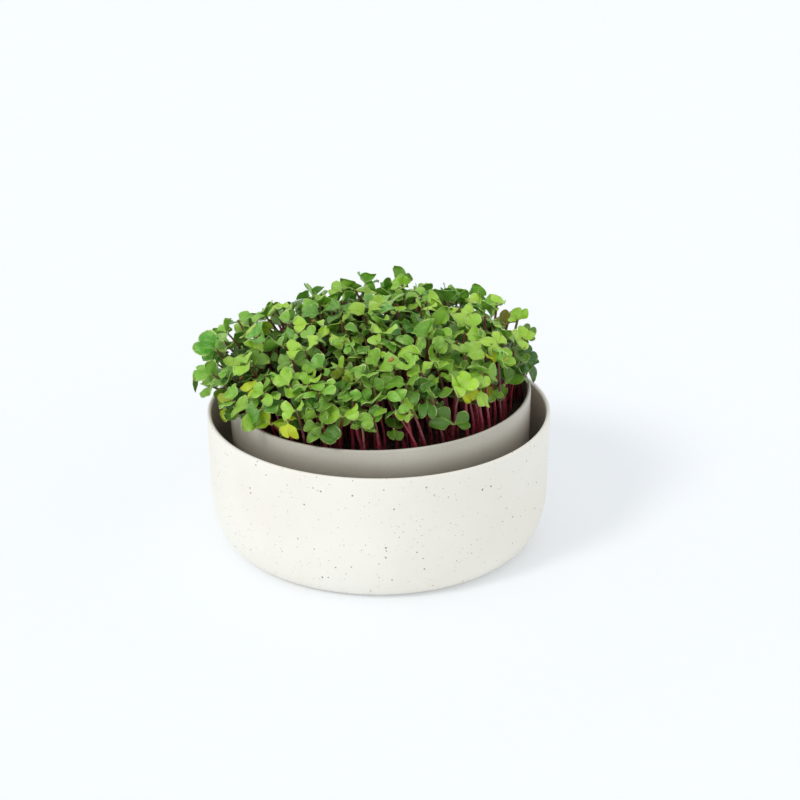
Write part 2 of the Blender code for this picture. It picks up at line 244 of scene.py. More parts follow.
# Seedlings that stand out at the edge, in millimetres and degrees of the model's frame: the foot, the tip,
# how yellow or bronze it is and, for each leaf, its azimuth, rise, roll, width, fold and curl
STRAYS = (
    ((-79, 5), (-94, 4, 114.5), 0.0, ((180, 32, -62, 17.0, 0.1, 0.2), (184, -8, -48, 12.0, 0.3, 0.3))),
    ((-77, -9), (-91, -10, 105), 0.0, ((178, 22, -55, 13.5, 0.2, 0.3), (186, -28, -50, 10.0, 0.2, 0.2))),
    ((-74, -22), (-82.5, -25, 98.5), 0.12, ((182, -12, -78, 14.0, 0.3, 0.1), (60, 35, 10, 11.0, 0.1, 0.2))),
    ((-62, -47), (-73, -57, 104), 0.0, ((302, -48, 8, 16.5, -0.1, 0.1), (150, 20, -20, 12.5, 0.2, 0.2))),
    ((-68, 34), (-83, 40, 118), 0.0, ((182, 4, 25, 12.0, 0.0, 0.1), (20, 30, 20, 12.0, 0.2, 0.1))),
    ((-46, -66), (-50.5, -74, 104), 0.45, ((255, -55, 10, 10.5, 0.1, 0.3), (70, 20, 0, 8.0, 0.2, 0.2))),
    ((12, 52), (14.5, 57, 134.0), 0.0, ((10, 80, 65, 9.0, 0.2, 0.1), (165, 5, -20, 9.0, 0.2, 0.2))),
    ((77, 14), (81, 18, 126.5), 0.10, ((0, 70, 78, 10.5, 0.1, 0.3), (175, 35, -15, 7.0, 0.3, 0.2))),
    ((76, 10), (85.5, 18, 116), 0.05, ((5, 62, 72, 9.0, 0.2, 0.2), (0, 12, 35, 7.5, 0.2, 0.2))),
    ((78, 0), (83, 0, 109.5), 0.0, ((8, 42, 62, 11.5, 0.2, 0.2), (172, 35, -58, 10.5, 0.2, 0.2))),
    ((72, 22), (75.5, 25, 121), 0.85, ((30, 80, 60, 12.0, 0.6, 0.1), (170, 10, -30, 10.0, 0.6, 0.6))),
)

# Camera, light and floor
PICTURE_SIZE = 800
CAMERA_PLACE = (0.0, -1.4361, 0.7054)
CAMERA_AIM = (0.01235, 0.0, 0.08383)
FOCAL_PIXELS = 2686
SENSOR_WIDTH = 36.0
WORLD_STRENGTH = 0.845
KEY_PLACE = (-0.84, -0.74, 1.0)
KEY_ANGLE = math.radians(15)
KEY_STRENGTH = 0.80
KEY_COLOUR = (1.0, 0.99, 0.97)
FLOOR_RADIUS = 4.0
FLOOR_THICKNESS = 0.01
FLOOR_GLOW = 0.165


def srgb(text):
    """A linear RGBA colour from a hex text."""
    values = [int(text[i : i + 2], 16) / 255 for i in (0, 2, 4)]
    return tuple(v / 12.92 if v <= 0.04045 else ((v + 0.055) / 1.055) ** 2.4 for v in values) + (1.0,)


class Nodes:
    """Short calls for building one material's node tree."""

    def __init__(self, name):
        self.material = bpy.data.materials.new(name)
        self.material.use_nodes = True
        self.tree = self.material.node_tree
        self.shader = self.tree.nodes["Principled BSDF"]

    def add(self, kind, **settings):
        node = self.tree.nodes.new("ShaderNode" + kind)
        for key, value in settings.items():
            setattr(node, key, value)
        return node

    def feed(self, socket, value):
        if isinstance(value, bpy.types.NodeSocket):
            self.tree.links.new(value, socket)
        else:
            socket.default_value = value

    def place(self):
        return self.add("TexCoord").outputs["Object"]

    def attribute(self, name):
        return self.add("Attribute", attribute_name=name).outputs

    def noise(self, scale, detail=3.0, roughness=0.5, distortion=0.0):
        node = self.add("TexNoise")
        self.feed(node.inputs["Vector"], self.place())
        node.inputs["Scale"].default_value = scale
        node.inputs["Detail"].default_value = detail
        node.inputs["Roughness"].default_value = roughness
        node.inputs["Distortion"].default_value = distortion
        return node.outputs["Fac"]

    def math(self, operation, a, b=0.0):
        node = self.add("Math", operation=operation)
        self.feed(node.inputs[0], a)
        self.feed(node.inputs[1], b)
        return node.outputs[0]

    def ramp(self, value, low, high, to_low=0.0, to_high=1.0, smooth=True):
        node = self.add("MapRange", interpolation_type="SMOOTHSTEP" if smooth else "LINEAR")
        self.feed(node.inputs["Value"], value)
        node.inputs["From Min"].default_value = low
        node.inputs["From Max"].default_value = high
        node.inputs["To Min"].default_value = to_low
        node.inputs["To Max"].default_value = to_high
        return node.outputs["Result"]

    def mix(self, share, a, b):
        node = self.add("Mix", data_type="RGBA")
        self.feed(node.inputs[0], share)
        self.feed(node.inputs[6], a)
        self.feed(node.inputs[7], b)
        return node.outputs[2]

    def split(self, vector):
        node = self.add("SeparateXYZ")
        self.feed(node.inputs[0], vector)
        return node.outputs

    def bump(self, height, distance, strength):
        node = self.add("Bump")
        self.feed(node.inputs["Height"], height)
        node.inputs["Distance"].default_value = distance
        node.inputs["Strength"].default_value = strength
        return node.outputs["Normal"]

    def finish(self, **sockets):
        for key, value in sockets.items():
            self.feed(self.shader.inputs[key.replace("_", " ")], value)
        return self.material


def speck_layer(nodes, cell, share, radii):
    """Irregular specks in a share of the cells of a grid: 1 inside a speck, and a tone drawn for each."""
    points = nodes.add("TexVoronoi", feature="F1")
    nodes.feed(points.inputs["Vector"], nodes.place())
    points.inputs["Scale"].default_value = 1.0 / cell
    draw = nodes.split(points.outputs["Color"])
    size = nodes.ramp(draw[1], 0.0, 1.0, radii[0] / cell, radii[1] / cell, smooth=False)
    ragged = nodes.ramp(nodes.noise(1100.0, 2.0), 0.3, 0.7, 0.60, 1.30)
    edge = nodes.math("SUBTRACT", nodes.math("MULTIPLY", size, ragged), points.outputs["Distance"])
    chosen = nodes.math("GREATER_THAN", draw[0], 1.0 - share)
    return nodes.math("MULTIPLY", nodes.ramp(edge, 0.0, 0.00015 / cell), chosen), draw[2]


def bowl_outside_material():
    nodes = Nodes("speckled_cream")
    cloud = nodes.noise(14.0, 4.0)
    cream = nodes.mix(nodes.ramp(cloud, 0.3, 0.7), srgb("f5f2ea"), srgb("f0ece1"))
    grain = nodes.noise(1500.0, 2.0)
    cream = nodes.mix(nodes.ramp(grain, 0.35, 0.75, 0.0, 0.10), cream, srgb("d6d0c0"))
    big, tone = speck_layer(nodes, 0.0045, 0.52, (0.00032, 0.00068))
    small, small_tone = speck_layer(nodes, 0.0024, 0.48, (0.00018, 0.00040))
    faint, _ = speck_layer(nodes, 0.0036, 0.45, (0.00040, 0.00080))
    cream = nodes.mix(nodes.math("MULTIPLY", faint, 0.22), cream, srgb("b6a98f"))
    small_brown = nodes.mix(small_tone, srgb("5f554b"), srgb("9a8a77"))
    cream = nodes.mix(nodes.math("MULTIPLY", small, 0.72), cream, small_brown)
    big_brown = nodes.mix(tone, srgb("433e3a"), srgb("a3947c"))
    cream = nodes.mix(nodes.math("MULTIPLY", big, 0.85), cream, big_brown)
    height = nodes.math("SUBTRACT", nodes.math("MULTIPLY", grain, 0.35), nodes.math("MULTIPLY", big, 0.5))
    normal = nodes.bump(height, 0.00008, 0.6)
    return nodes.finish(Base_Color=cream, Roughness=nodes.ramp(cloud, 0.3, 0.7, 0.52, 0.60), Normal=normal)


def taupe_material(name, light, dark, roughness, painted_shade):
    """Moulded taupe: soft clouds of tone, a fine grain, and painted shade that darkens it below the rims."""
    nodes = Nodes(name)
    cloud = nodes.noise(9.0, 4.0)
    colour = nodes.mix(nodes.ramp(cloud, 0.3, 0.7), srgb(dark), srgb(light))
    _, _, height = nodes.split(nodes.place())
    # painted shade: darker below a fixed height, where the gap between bowl and tray is in shade
    colour = nodes.mix(nodes.ramp(height, *PAINTED_SHADE_BAND, painted_shade, 0.0), colour, srgb("6f665b"))
    grain = nodes.noise(1300.0, 2.0)
    colour = nodes.mix(nodes.ramp(grain, 0.4, 0.8, 0.0, 0.12), colour, srgb("5c5148"))
    normal = nodes.bump(grain, 0.00006, 0.5)
    rough = nodes.ramp(cloud, 0.3, 0.7, roughness - 0.04, roughness + 0.04)
    return nodes.finish(Base_Color=colour, Roughness=rough, Normal=normal)


def medium_material():
    nodes = Nodes("dark_coir")
    clumps = nodes.noise(420.0, 5.0, 0.65)
    colour = nodes.mix(nodes.ramp(clumps, 0.35, 0.7), srgb("1c120c"), srgb("4a3324"))
    fibres = nodes.noise(1600.0, 3.0, 0.7, distortion=1.5)
    colour = nodes.mix(nodes.ramp(fibres, 0.62, 0.75, 0.0, 0.45), colour, srgb("7b5a3c"))
    normal = nodes.bump(nodes.math("ADD", clumps, fibres), 0.0006, 0.9)
    return nodes.finish(Base_Color=colour, Roughness=0.92, Normal=normal)


def leaf_material():
    """A seed leaf. Its map runs from stalk to notch and from midrib to edge, and tint holds its own tones and
    its painted light and shade.
    """
    nodes = Nodes("leaf_green")
    along, across, _ = nodes.split(nodes.add("UVMap", uv_map="blade").outputs["UV"])
    tint = nodes.attribute("tint")
    warm, light, bronze = nodes.split(tint["Color"])
    under = tint["Alpha"]
    off_rib = nodes.math("ABSOLUTE", nodes.math("SUBTRACT", across, 0.5))
    mottle = nodes.noise(260.0, 4.0, 0.6)
    green = nodes.mix(warm, srgb("529f27"), srgb("b4e038"))
    # painted shade: leaves with little light turn towards dark green
    green = nodes.mix(nodes.ramp(light, 0.0, 0.9), nodes.mix(0.85, green, srgb("1f500b")), green)
    # A pale whitish-green mottle: partly the leaf's own mottling, partly painted highlight, stronger on
    # lighter leaves
    mottle_and_highlight = nodes.math("MULTIPLY", nodes.ramp(mottle, 0.40, 0.70, 0.0, 0.55), light)
    green = nodes.mix(mottle_and_highlight, green, srgb("b0dc6c"))
    slant = nodes.math("ADD", nodes.math("MULTIPLY", along, 5.0), nodes.math("MULTIPLY", off_rib, -3.4))
    rung = nodes.math("ABSOLUTE", nodes.math("SUBTRACT", nodes.math("FRACT", slant), 0.5))
    towards_edge = nodes.ramp(off_rib, 0.30, 0.47, 1.0, 0.0)
    side_vein = nodes.math("MULTIPLY", nodes.ramp(rung, 0.0, 0.10, 1.0, 0.0), towards_edge)
    rib = nodes.ramp(off_rib, 0.0, 0.045, 1.0, 0.0)
    vein = nodes.math("MAXIMUM", nodes.math("MULTIPLY", side_vein, 0.35), nodes.math("MULTIPLY", rib, 0.60))
    green = nodes.mix(nodes.math("MULTIPLY", vein, 0.45), green, srgb("bbdf70"))
    broken = nodes.ramp(nodes.noise(330.0, 2.0), 0.36, 0.58, 0.25, 1.0)
    edge = nodes.math("MULTIPLY", nodes.ramp(off_rib, 0.425, 0.480), broken)
    rim_light = nodes.ramp(light, 0.0, 1.0, 0.35, 1.0)
    green = nodes.mix(nodes.math("MULTIPLY", edge, rim_light), green, srgb("d0e88c"))
    stalk = nodes.ramp(along, 0.06, 0.26, 1.0, 0.0)
    green = nodes.mix(nodes.math("MULTIPLY", stalk, 0.75), green, srgb("b3c464"))
    green = nodes.mix(nodes.math("MULTIPLY", under, 0.45), green, srgb("8cb455"))
    yellow = nodes.ramp(bronze, 0.0, 0.5)
    green = nodes.mix(nodes.math("MULTIPLY", yellow, 0.85), green, srgb("c8d41e"))
    green = nodes.mix(nodes.ramp(bronze, 0.5, 1.0), green, srgb("66501f"))
    pimples = nodes.noise(900.0, 2.0)
    height = nodes.math("SUBTRACT", nodes.math("MULTIPLY", mottle, 0.6), vein)
    normal = nodes.bump(nodes.math("ADD", height, nodes.math("MULTIPLY", pimples, 0.35)), 0.00040, 0.9)
    nodes.shader.inputs["Specular IOR Level"].default_value = 0.55
    nodes.shader.inputs["Subsurface Weight"].default_value = 0.22
    nodes.shader.inputs["Subsurface Radius"].default_value = (0.5, 1.0, 0.25)
    nodes.shader.inputs["Subsurface Scale"].default_value = 0.0012
    rough = nodes.ramp(mottle, 0.3, 0.7, 0.28, 0.42)
    return nodes.finish(Base_Color=green, Roughness=rough, Normal=normal)


def stem_material():
    """A stem: purple with paler streaks of painted highlight, and brown or greenish under its leaves."""
    nodes = Nodes("purple_stem")
    share, _, _ = nodes.split(nodes.add("UVMap", uv_map="blade").outputs["UV"])
    tint = nodes.attribute("tint")
    warm, light, _ = nodes.split(tint["Color"])
    streak = nodes.noise(500.0, 3.0, 0.6)
    purple = nodes.mix(light, srgb("4a0f16"), srgb("98303f"))
    # painted highlight: paler pink streaks on the purple
    purple = nodes.mix(nodes.ramp(streak, 0.4, 0.75, 0.0, 0.5), purple, srgb("b85c66"))
    top = nodes.mix(warm, srgb("5f3a28"), srgb("66762f"))
    colour = nodes.mix(nodes.ramp(share, 0.50, 0.95, 0.0, 0.92), purple, top)
    nodes.shader.inputs["Subsurface Weight"].default_value = 0.10
    nodes.shader.inputs["Subsurface Radius"].default_value = (1.0, 0.3, 0.35)
    nodes.shader.inputs["Subsurface Scale"].default_value = 0.0010
    return nodes.finish(Base_Color=colour, Roughness=0.36, Normal=nodes.bump(streak, 0.00010, 0.4))


def husk_material():
    nodes = Nodes("seed_husk")
    tint = nodes.attribute("tint")
    warm, pale, _ = nodes.split(tint["Color"])
    streak = nodes.noise(900.0, 3.0)
    brown = nodes.mix(warm, srgb("8a4822"), srgb("d08a55"))
    brown = nodes.mix(nodes.ramp(streak, 0.4, 0.7, 0.0, 0.45), brown, srgb("6b2f14"))
    brown = nodes.mix(nodes.math("MULTIPLY", pale, 0.9), brown, srgb("e3cf9c"))
    return nodes.finish(Base_Color=brown, Roughness=0.5, Normal=nodes.bump(streak, 0.0001, 0.6))


def floor_material():
    """A pale floor that glows a little, as a lit white sweep does, so that shadows on it stay light."""
    nodes = Nodes("pale_floor")
    nodes.shader.inputs["Emission Color"].default_value = srgb("f6fbff")
    nodes.shader.inputs["Emission Strength"].default_value = FLOOR_GLOW
    return nodes.finish(Base_Color=srgb("e8ebee"), Roughness=0.75)


def mesh_object(name, points, faces, materials, face_materials=None):
    mesh = bpy.data.meshes.new(name)
    mesh.from_pydata([tuple(p) for p in points], [], [tuple(f) for f in faces])
    for material in materials:
        mesh.materials.append(material)
    if face_materials is not None:
        mesh.polygons.foreach_set("material_index", face_materials)
    obj = bpy.data.objects.new(name, mesh)
    bpy.context.scene.collection.objects.link(obj)
    mesh.shade_smooth()
    return obj


def arc(centre, radii, start, end, steps):
    """Points of an elliptic arc in the (radius, height) plane, from angle start to angle end."""
    angles = [start + (end - start) * k / steps for k in range(steps + 1)]
    return [(centre[0] + radii[0] * math.cos(a), centre[1] + radii[1] * math.sin(a)) for a in angles]


def between(a, b, count):
    """The points between a and b, without them."""
    return [tuple(u + (v - u) * k / count for u, v in zip(a, b)) for k in range(1, count)]


def turned(profile, segments):
    """Points and faces of a solid turned about Z, from a profile that starts and ends on the axis."""
    rings = profile[1:-1]
    points = [(0.0, 0.0, profile[0][1])]
    round_trip = [(math.cos(TURN * s / segments), math.sin(TURN * s / segments)) for s in range(segments)]
    for r, z in rings:
        points += [(r * x, r * y, z) for x, y in round_trip]
    points.append((0.0, 0.0, profile[-1][1]))
    faces = [(0, 1 + (s + 1) % segments, 1 + s) for s in range(segments)]
    for k in range(len(rings) - 1):
        low = 1 + k * segments
        for s in range(segments):
            t = (s + 1) % segments
            faces.append((low + s, low + t, low + segments + t, low + segments + s))
    low, last = 1 + (len(rings) - 1) * segments, len(points) - 1
    faces += [(low + s, low + (s + 1) % segments, last) for s in range(segments)]
    return points, faces


def bowl_profile(corner_steps, rim_steps, wall_steps):
    """The bowl's profile, and how many of its points lie on the outside and the rim."""
    outer_flat = BOWL_RADIUS - BOWL_TAPER - BOWL_CORNER_WIDE
    half = BOWL_WALL / 2
    inner_foot = BOWL_RADIUS - BOWL_WALL - BOWL_TAPER
    inner_wide = inner_foot - BOWL_INNER_FLAT
    inner_centre = (BOWL_INNER_FLAT, BOWL_FLOOR + BOWL_INNER_CORNER_TALL)
    outer_centre = (outer_flat, BOWL_CORNER_TALL)
    outside = arc(outer_centre, (BOWL_CORNER_WIDE, BOWL_CORNER_TALL), -math.pi / 2, 0, corner_steps)
    rim = arc((BOWL_RADIUS - half, BOWL_HEIGHT - half), (half, half), 0, math.pi, rim_steps)
    inside = arc(inner_centre, (inner_wide, BOWL_INNER_CORNER_TALL), 0, -math.pi / 2, corner_steps)
    outer = [(0, 0)] + between((0, 0), outside[0], FLAT_STEPS) + outside
    outer += between(outside[-1], rim[0], wall_steps) + rim
    inner = between(rim[-1], inside[0], wall_steps) + inside
    inner += between(inside[-1], (0, BOWL_FLOOR), FLAT_STEPS)
    return outer + inner + [(0, BOWL_FLOOR)], len(outer)


def tray_radius(z):
    """The outer radius of the tray's straight, slightly drafted wall at height z of the tray's frame."""
    return TRAY_RADIUS - (TRAY_HEIGHT - z) * math.tan(TRAY_DRAFT)


def tray_profile(corner_steps, rim_steps, inner_steps, wall_steps):
    half = TRAY_WALL / 2
    corner_centre = (tray_radius(TRAY_CORNER) - TRAY_CORNER, TRAY_CORNER)
    foot_inner = corner_centre[0] - FOOT_WIDTH
    floor_top = FOOT_HEIGHT + TRAY_WALL
    inner_corner = TRAY_CORNER - TRAY_WALL / 2
    inner_foot = tray_radius(floor_top + inner_corner) - TRAY_WALL
    inner_centre = (inner_foot - inner_corner, floor_top + inner_corner)
    foot = [(foot_inner - half, FOOT_HEIGHT), (foot_inner, 0)]
    corner = arc(corner_centre, (TRAY_CORNER, TRAY_CORNER), -math.pi / 2, 0, corner_steps)
    rim = arc((TRAY_RADIUS - half, TRAY_HEIGHT - half), (half, half), 0, math.pi, rim_steps)
    inside = arc(inner_centre, (inner_corner, inner_corner), 0, -math.pi / 2, inner_steps)
    wall = between(corner[-1], rim[0], wall_steps)
    return [(0, FOOT_HEIGHT)] + foot + corner + wall + rim + inside + [(0, floor_top)]


def make_bowl(materials):
    profile, outer_count = bowl_profile(*BOWL_STEPS)
    points, faces = turned(profile, BOWL_SEGMENTS)
    marks = [0 if k < BOWL_SEGMENTS * (outer_count - 1) else 1 for k in range(len(faces))]
    bowl = mesh_object("bowl", points, faces, [materials["cream"], materials["inside"]], marks)
    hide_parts("outer_bowl")
    return bowl


def prism(bm, place, radius, depth, sides):
    bmesh.ops.create_cone(
        bm, cap_ends=True, segments=sides, radius1=radius, radius2=radius, depth=depth, matrix=place
    )


def cut(obj, bm, name):
    """Cuts the bodies in bm out of obj and applies the cut."""
    mesh = bpy.data.meshes.new(name)
    bm.to_mesh(mesh)
    bm.free()
    cutter = bpy.data.objects.new(name, mesh)
    bpy.context.scene.collection.objects.link(cutter)
    modifier = obj.modifiers.new(name, "BOOLEAN")
    modifier.operation = "DIFFERENCE"
    modifier.object = cutter
    graph = bpy.context.evaluated_depsgraph_get()
    obj.data = bpy.data.meshes.new_from_object(obj.evaluated_get(graph))
    obj.modifiers.clear()
    bpy.data.objects.remove(cutter, do_unlink=True)


def make_tray(materials):
    points, faces = turned(tray_profile(*TRAY_STEPS), TRAY_SEGMENTS)
    tray = mesh_object("tray", points, faces, [materials["tray"]])
    drains = bmesh.new()
    spots = [(0.0, 0.0)]
    for k in range(DRAIN_COUNT):
        a = TURN * (k + 0.5) / DRAIN_COUNT
        spots.append((DRAIN_CIRCLE * math.cos(a), DRAIN_CIRCLE * math.sin(a)))
    for x, y in spots:
        place = Matrix.Translation((x, y, 1.5 * FOOT_HEIGHT))
        prism(drains, place, DRAIN_RADIUS, 3 * FOOT_HEIGHT, DRAIN_SIDES)
    cut(tray, drains, "drains")
    notches = bmesh.new()
    for k in range(NOTCH_COUNT):
        a = TURN * (k + 0.5) / NOTCH_COUNT
        place = Matrix.Rotation(a, 4, "Z") @ Matrix.Translation((tray_radius(0) - TRAY_CORNER, 0, 0))
        size = Matrix.Diagonal((4 * TRAY_CORNER, NOTCH_WIDTH, 2 * NOTCH_HEIGHT, 1))
        bmesh.ops.create_cube(notches, size=1.0, matrix=place @ size)
    cut(tray, notches, "notches")
    tray.data.transform(SEAT)
    tray.data.shade_smooth()
    tray.data.set_sharp_from_angle(angle=math.radians(40))
    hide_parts("inner_tray")
    return tray


def medium_height(x, y):
    """Height of the growing medium's surface in the tray's frame: a low mound with soft lumps."""
    share = min(1.0, math.hypot(x, y) / TRAY_RADIUS)
    lump = noise.noise(Vector((x, y, 0.0)) / MEDIUM_GRAIN)
    level = TRAY_HEIGHT - MEDIUM_DEPTH_BELOW_RIM
    return level + MEDIUM_MOUND * (1 - share * share) + MEDIUM_ROUGHNESS * lump


def crumbled(x, y):
    """The medium's surface with its crumbs."""
    place = Vector((x, y, 0.0))
    crumbs = noise.fractal(place * CRUMB_GRAIN, 0.9, 2.1, 4) * CRUMB_HEIGHT
    clods = max(0.0, noise.noise(place * CLOD_GRAIN)) * CLOD_HEIGHT
    return medium_height(x, y) + crumbs + clods - CRUMB_SINK


def make_medium(materials):
    floor_top = FOOT_HEIGHT + TRAY_WALL + GAP
    level = TRAY_HEIGHT - MEDIUM_DEPTH_BELOW_RIM
    edge = tray_radius(level) - TRAY_WALL - 2 * GAP
    foot = tray_radius(floor_top + TRAY_CORNER) - TRAY_WALL - 2 * GAP
    surface = [(edge * k / MEDIUM_RINGS, level) for k in range(MEDIUM_RINGS, -1, -1)]
    profile = [(0, floor_top), (foot - TRAY_CORNER, floor_top), (foot, floor_top + TRAY_CORNER)] + surface
    points, faces = turned(profile, MEDIUM_SEGMENTS)
    lifted = []
    for x, y, z in points:
        lifted.append((x, y, crumbled(x, y) if abs(z - level) < 1e-9 else z))
    medium = mesh_object("medium", lifted, faces, [materials["medium"]])
    medium.data.transform(SEAT)
    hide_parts("growing_medium")
    return medium


def spiral(count, field):
    """Spots spread evenly over a disc, on a golden-angle spiral."""
    spots = []
    for k in range(count):
        r = field * math.sqrt((k + 0.5) / count)
        spots.append((r * math.cos(k * GOLDEN_ANGLE), r * math.sin(k * GOLDEN_ANGLE)))
    return spots


def canopy_height(x, y):
    """Height of the leaf canopy's top in the tray's frame: a low dome that falls further on its low side."""
    share = math.hypot((x - CANOPY_PEAK[0]) / CANOPY_WIDE, y - CANOPY_PEAK[1]) / CANOPY_RADIUS
    low = max(0.0, x * CANOPY_LOW_SIDE[0] + y * CANOPY_LOW_SIDE[1]) / CANOPY_RADIUS
    return CANOPY_TOP - TRAY_SEAT - CANOPY_FALL * share**2 - CANOPY_LOW_FALL * low**2


def stem_path(base, tip, steps):
    """Points of a stem that rises straight out of the medium and then leans over to its tip."""
    knee = Vector((*base.lerp(tip, STEM_KNEE[0]).xy, base.lerp(tip, STEM_KNEE[1]).z))
    points = []
    for k in range(steps + 1):
        t = k / steps
        points.append(base * (1 - t) ** 2 + knee * 2 * t * (1 - t) + tip * t * t)
    return points


def tube(path, radii, sides, phase, grow=0.0):
    """A closed tapered tube along path, which runs mostly upward: (points, faces)."""
    points, faces = [], []
    last = len(path) - 1
    for k, centre in enumerate(path):
        radius = radii[0] + (radii[1] - radii[0]) * k / last + grow
        for s in range(sides):
            a = phase + TURN * s / sides
            points.append(centre + Vector((radius * math.cos(a), radius * math.sin(a), 0)))
    for k in range(last):
        for s in range(sides):
            t = (s + 1) % sides
            faces.append((k * sides + s, k * sides + t, (k + 1) * sides + t, (k + 1) * sides + s))
    faces.append(tuple(reversed(range(sides))))
    faces.append(tuple(last * sides + s for s in range(sides)))
    return points, faces


# A seed leaf's plain outline in the solids, right half: (share of length, share of half width)
LEAF_BASE = (-0.02, 0.0)
LEAF_SIDE = ((0.34, 0.70), (0.72, 1.0), (1.0, 0.50))
LEAF_NOTCH = (0.78, 0.0)
LEAF_TRIANGLES = ((0, 1, 7), (1, 2, 4), (2, 3, 4), (1, 4, 7), (7, 4, 6), (4, 5, 6))

# The same outline with its stalk and round lobes
FINE_OUTLINE = (
    (-0.02, 0.060),
    (0.13, 0.080),
    (0.21, 0.30),
    (0.31, 0.67),
    (0.47, 0.93),
    (0.66, 1.00),
    (0.84, 0.91),
    (0.96, 0.66),
    (1.00, 0.40),
    (0.965, 0.18),
    (0.89, 0.03),
)


def leaf_frame(root, spec):
    """A frame with X along the leaf, Y across it and Z its upper side, which leans out with the seedling."""
    away = root.xy.length / CANOPY_RADIUS
    angle = spec.get("lean", LEAF_LEAN) * min(1.0, away)
    lean = Matrix.Rotation(angle, 4, Vector((-root.y, root.x, 0.0)))
    turn = Matrix.Rotation(spec["azimuth"], 4, "Z") @ Matrix.Rotation(-spec["rise"], 4, "Y")
    return Matrix.Translation(root) @ lean @ turn @ Matrix.Rotation(spec["roll"], 4, "X")


def plain_leaf(root, spec, grow=0.0):
    """A seed leaf as the solids have it, to test what it meets."""
    half = spec["width"] / 2
    length = spec["width"] * LEAF_LENGTH_SHARE
    outline = [LEAF_BASE, *LEAF_SIDE, LEAF_NOTCH]
    outline += [(u, -v) for u, v in reversed(LEAF_SIDE)]
    frame = leaf_frame(root, spec)
    lift = LEAF_THICKNESS / 2 + grow
    points = []
    for side in (lift, -lift):
        for u, v in outline:
            z = half * (spec["fold"] * abs(v) - spec["curl"] * u * u)
            points.append(frame @ Vector((u * (length + grow), v * (half + grow), z + side)))
    count = len(outline)
    faces = list(LEAF_TRIANGLES) + [tuple(count + i for i in reversed(face)) for face in LEAF_TRIANGLES]
    faces += [(k, count + k, count + (k + 1) % count, (k + 1) % count) for k in range(count)]
    return points, faces


def draw_leaf(rng, azimuth, width):
    return {
        "azimuth": azimuth,
        "rise": rng.uniform(*LEAF_RISE),
        "roll": rng.uniform(-LEAF_ROLL, LEAF_ROLL),
        "width": width,
        "fold": rng.uniform(*LEAF_FOLD),
        "curl": rng.uniform(*LEAF_CURL),
    }


def draw_seedling(rng, crown, tier):
    """One random seedling of a crown: where its stem runs and how its two leaves stand."""
    bearing = Vector(crown).normalized()
    away = Vector(crown).length / CROWN_FIELD
    fan = math.atan2(crown[1], crown[0]) + math.pi / 2 + TURN * tier / SEEDLINGS_PER_CROWN
    fan += rng.uniform(-STEM_FAN, STEM_FAN)
    outward = Vector((math.cos(fan), math.sin(fan)))
    spread = 1 + CANOPY_LEFT_LEAN * away * max(0.0, -bearing.x) - CANOPY_FRONT_HOLD * max(0.0, -bearing.y)
    spread *= CANOPY_SPREAD / CROWN_FIELD
    top = Vector(crown) * spread + outward * rng.uniform(*STEM_REACH) + Vector((CANOPY_SHIFT * away, 0))
    drop = rng.uniform(*TIP_DROP) + tier * rng.uniform(*TIER_DROP)
    foot = Vector(crown) + outward * STEM_START_OFFSET
    azimuth = rng.uniform(0, TURN)
    width = rng.uniform(*LEAF_WIDTH)
    opposite = azimuth + math.pi + rng.uniform(-LEAF_SWING, LEAF_SWING)
    return {
        "base": Vector((*foot, medium_height(*crown) - STEM_START_DEPTH)),
        "tip": Vector((*top, max(TRAY_HEIGHT + TIP_OVER_RIM, canopy_height(*top) - drop))),
        "phase": rng.uniform(0, TURN),
        "leaves": [
            draw_leaf(rng, azimuth, width),
            draw_leaf(rng, opposite, width * rng.uniform(*SECOND_LEAF_SHARE)),
        ],
    }


def draw_filler(rng, spot):
    """One random seedling between the crowns."""
    bearing = Vector(spot).normalized()
    away = Vector(spot).length / FILLER_FIELD
    fan = rng.uniform(0, TURN)
    outward = Vector((math.cos(fan), math.sin(fan)))
    spread = 1 + CANOPY_LEFT_LEAN * away * max(0.0, -bearing.x) - CANOPY_FRONT_HOLD * max(0.0, -bearing.y)
    spread *= CANOPY_SPREAD / FILLER_FIELD
    top = Vector(spot) * spread + outward * rng.uniform(*FILLER_REACH) + Vector((CANOPY_SHIFT * away, 0))
    drop = FILLER_DROP * rng.random() ** FILLER_DROP_POWER
    drop *= 1 - FILLER_FRONT_LIFT * away**2 * max(0.0, -bearing.y)
    azimuth = rng.uniform(0, TURN)
    width = rng.uniform(*FILLER_WIDTH)
    opposite = azimuth + math.pi + rng.uniform(-FILLER_SWING, FILLER_SWING) * LEAF_SWING
    leaves = []
    for turn, wide in ((azimuth, width), (opposite, width * rng.uniform(*SECOND_LEAF_SHARE))):
        spec = draw_leaf(rng, turn, wide)
        spec["rise"] = rng.uniform(*FILLER_RISE)
        spec["roll"] = rng.uniform(-FILLER_ROLL, FILLER_ROLL)
        spec["fold"] = rng.uniform(*FILLER_FOLD)
        spec["curl"] = rng.uniform(*FILLER_CURL)
        leaves.append(spec)
    return {
        "base": Vector((*spot, medium_height(*spot) - FILLER_START_DEPTH)),
        "tip": Vector((*top, max(TRAY_HEIGHT + TIP_OVER_RIM, canopy_height(*top) - drop))),
        "phase": rng.uniform(0, TURN),
        "leaves": leaves,
    }


def seedling_bodies(plan, grow=0.0):
    """The plain stem and the two plain leaves of one seedling, as [(points, faces)]."""
    path = stem_path(plan["base"], plan["tip"], STEM_STEPS)
    stem = tube(path, STEM_RADIUS, STEM_SIDES, plan["phase"], grow)
    root = plan["tip"] - Vector((0, 0, STEM_RADIUS[1]))
    return [stem] + [plain_leaf(root, spec, grow) for spec in plan["leaves"]]


def tree_of(bodies):
    points, faces = [], []
    for body_points, body_faces in bodies:
        start = len(points)
        points += body_points
        faces += [tuple(start + i for i in face) for face in body_faces]
    return BVHTree.FromPolygons(points, faces)


def tree_of_profile(profile, matrix):
    """The turned surface of a profile as an obstacle, placed by matrix."""
    points, faces = turned(profile, COARSE_SEGMENTS)
    return BVHTree.FromPolygons([matrix @ Vector(p) for p in points], faces)


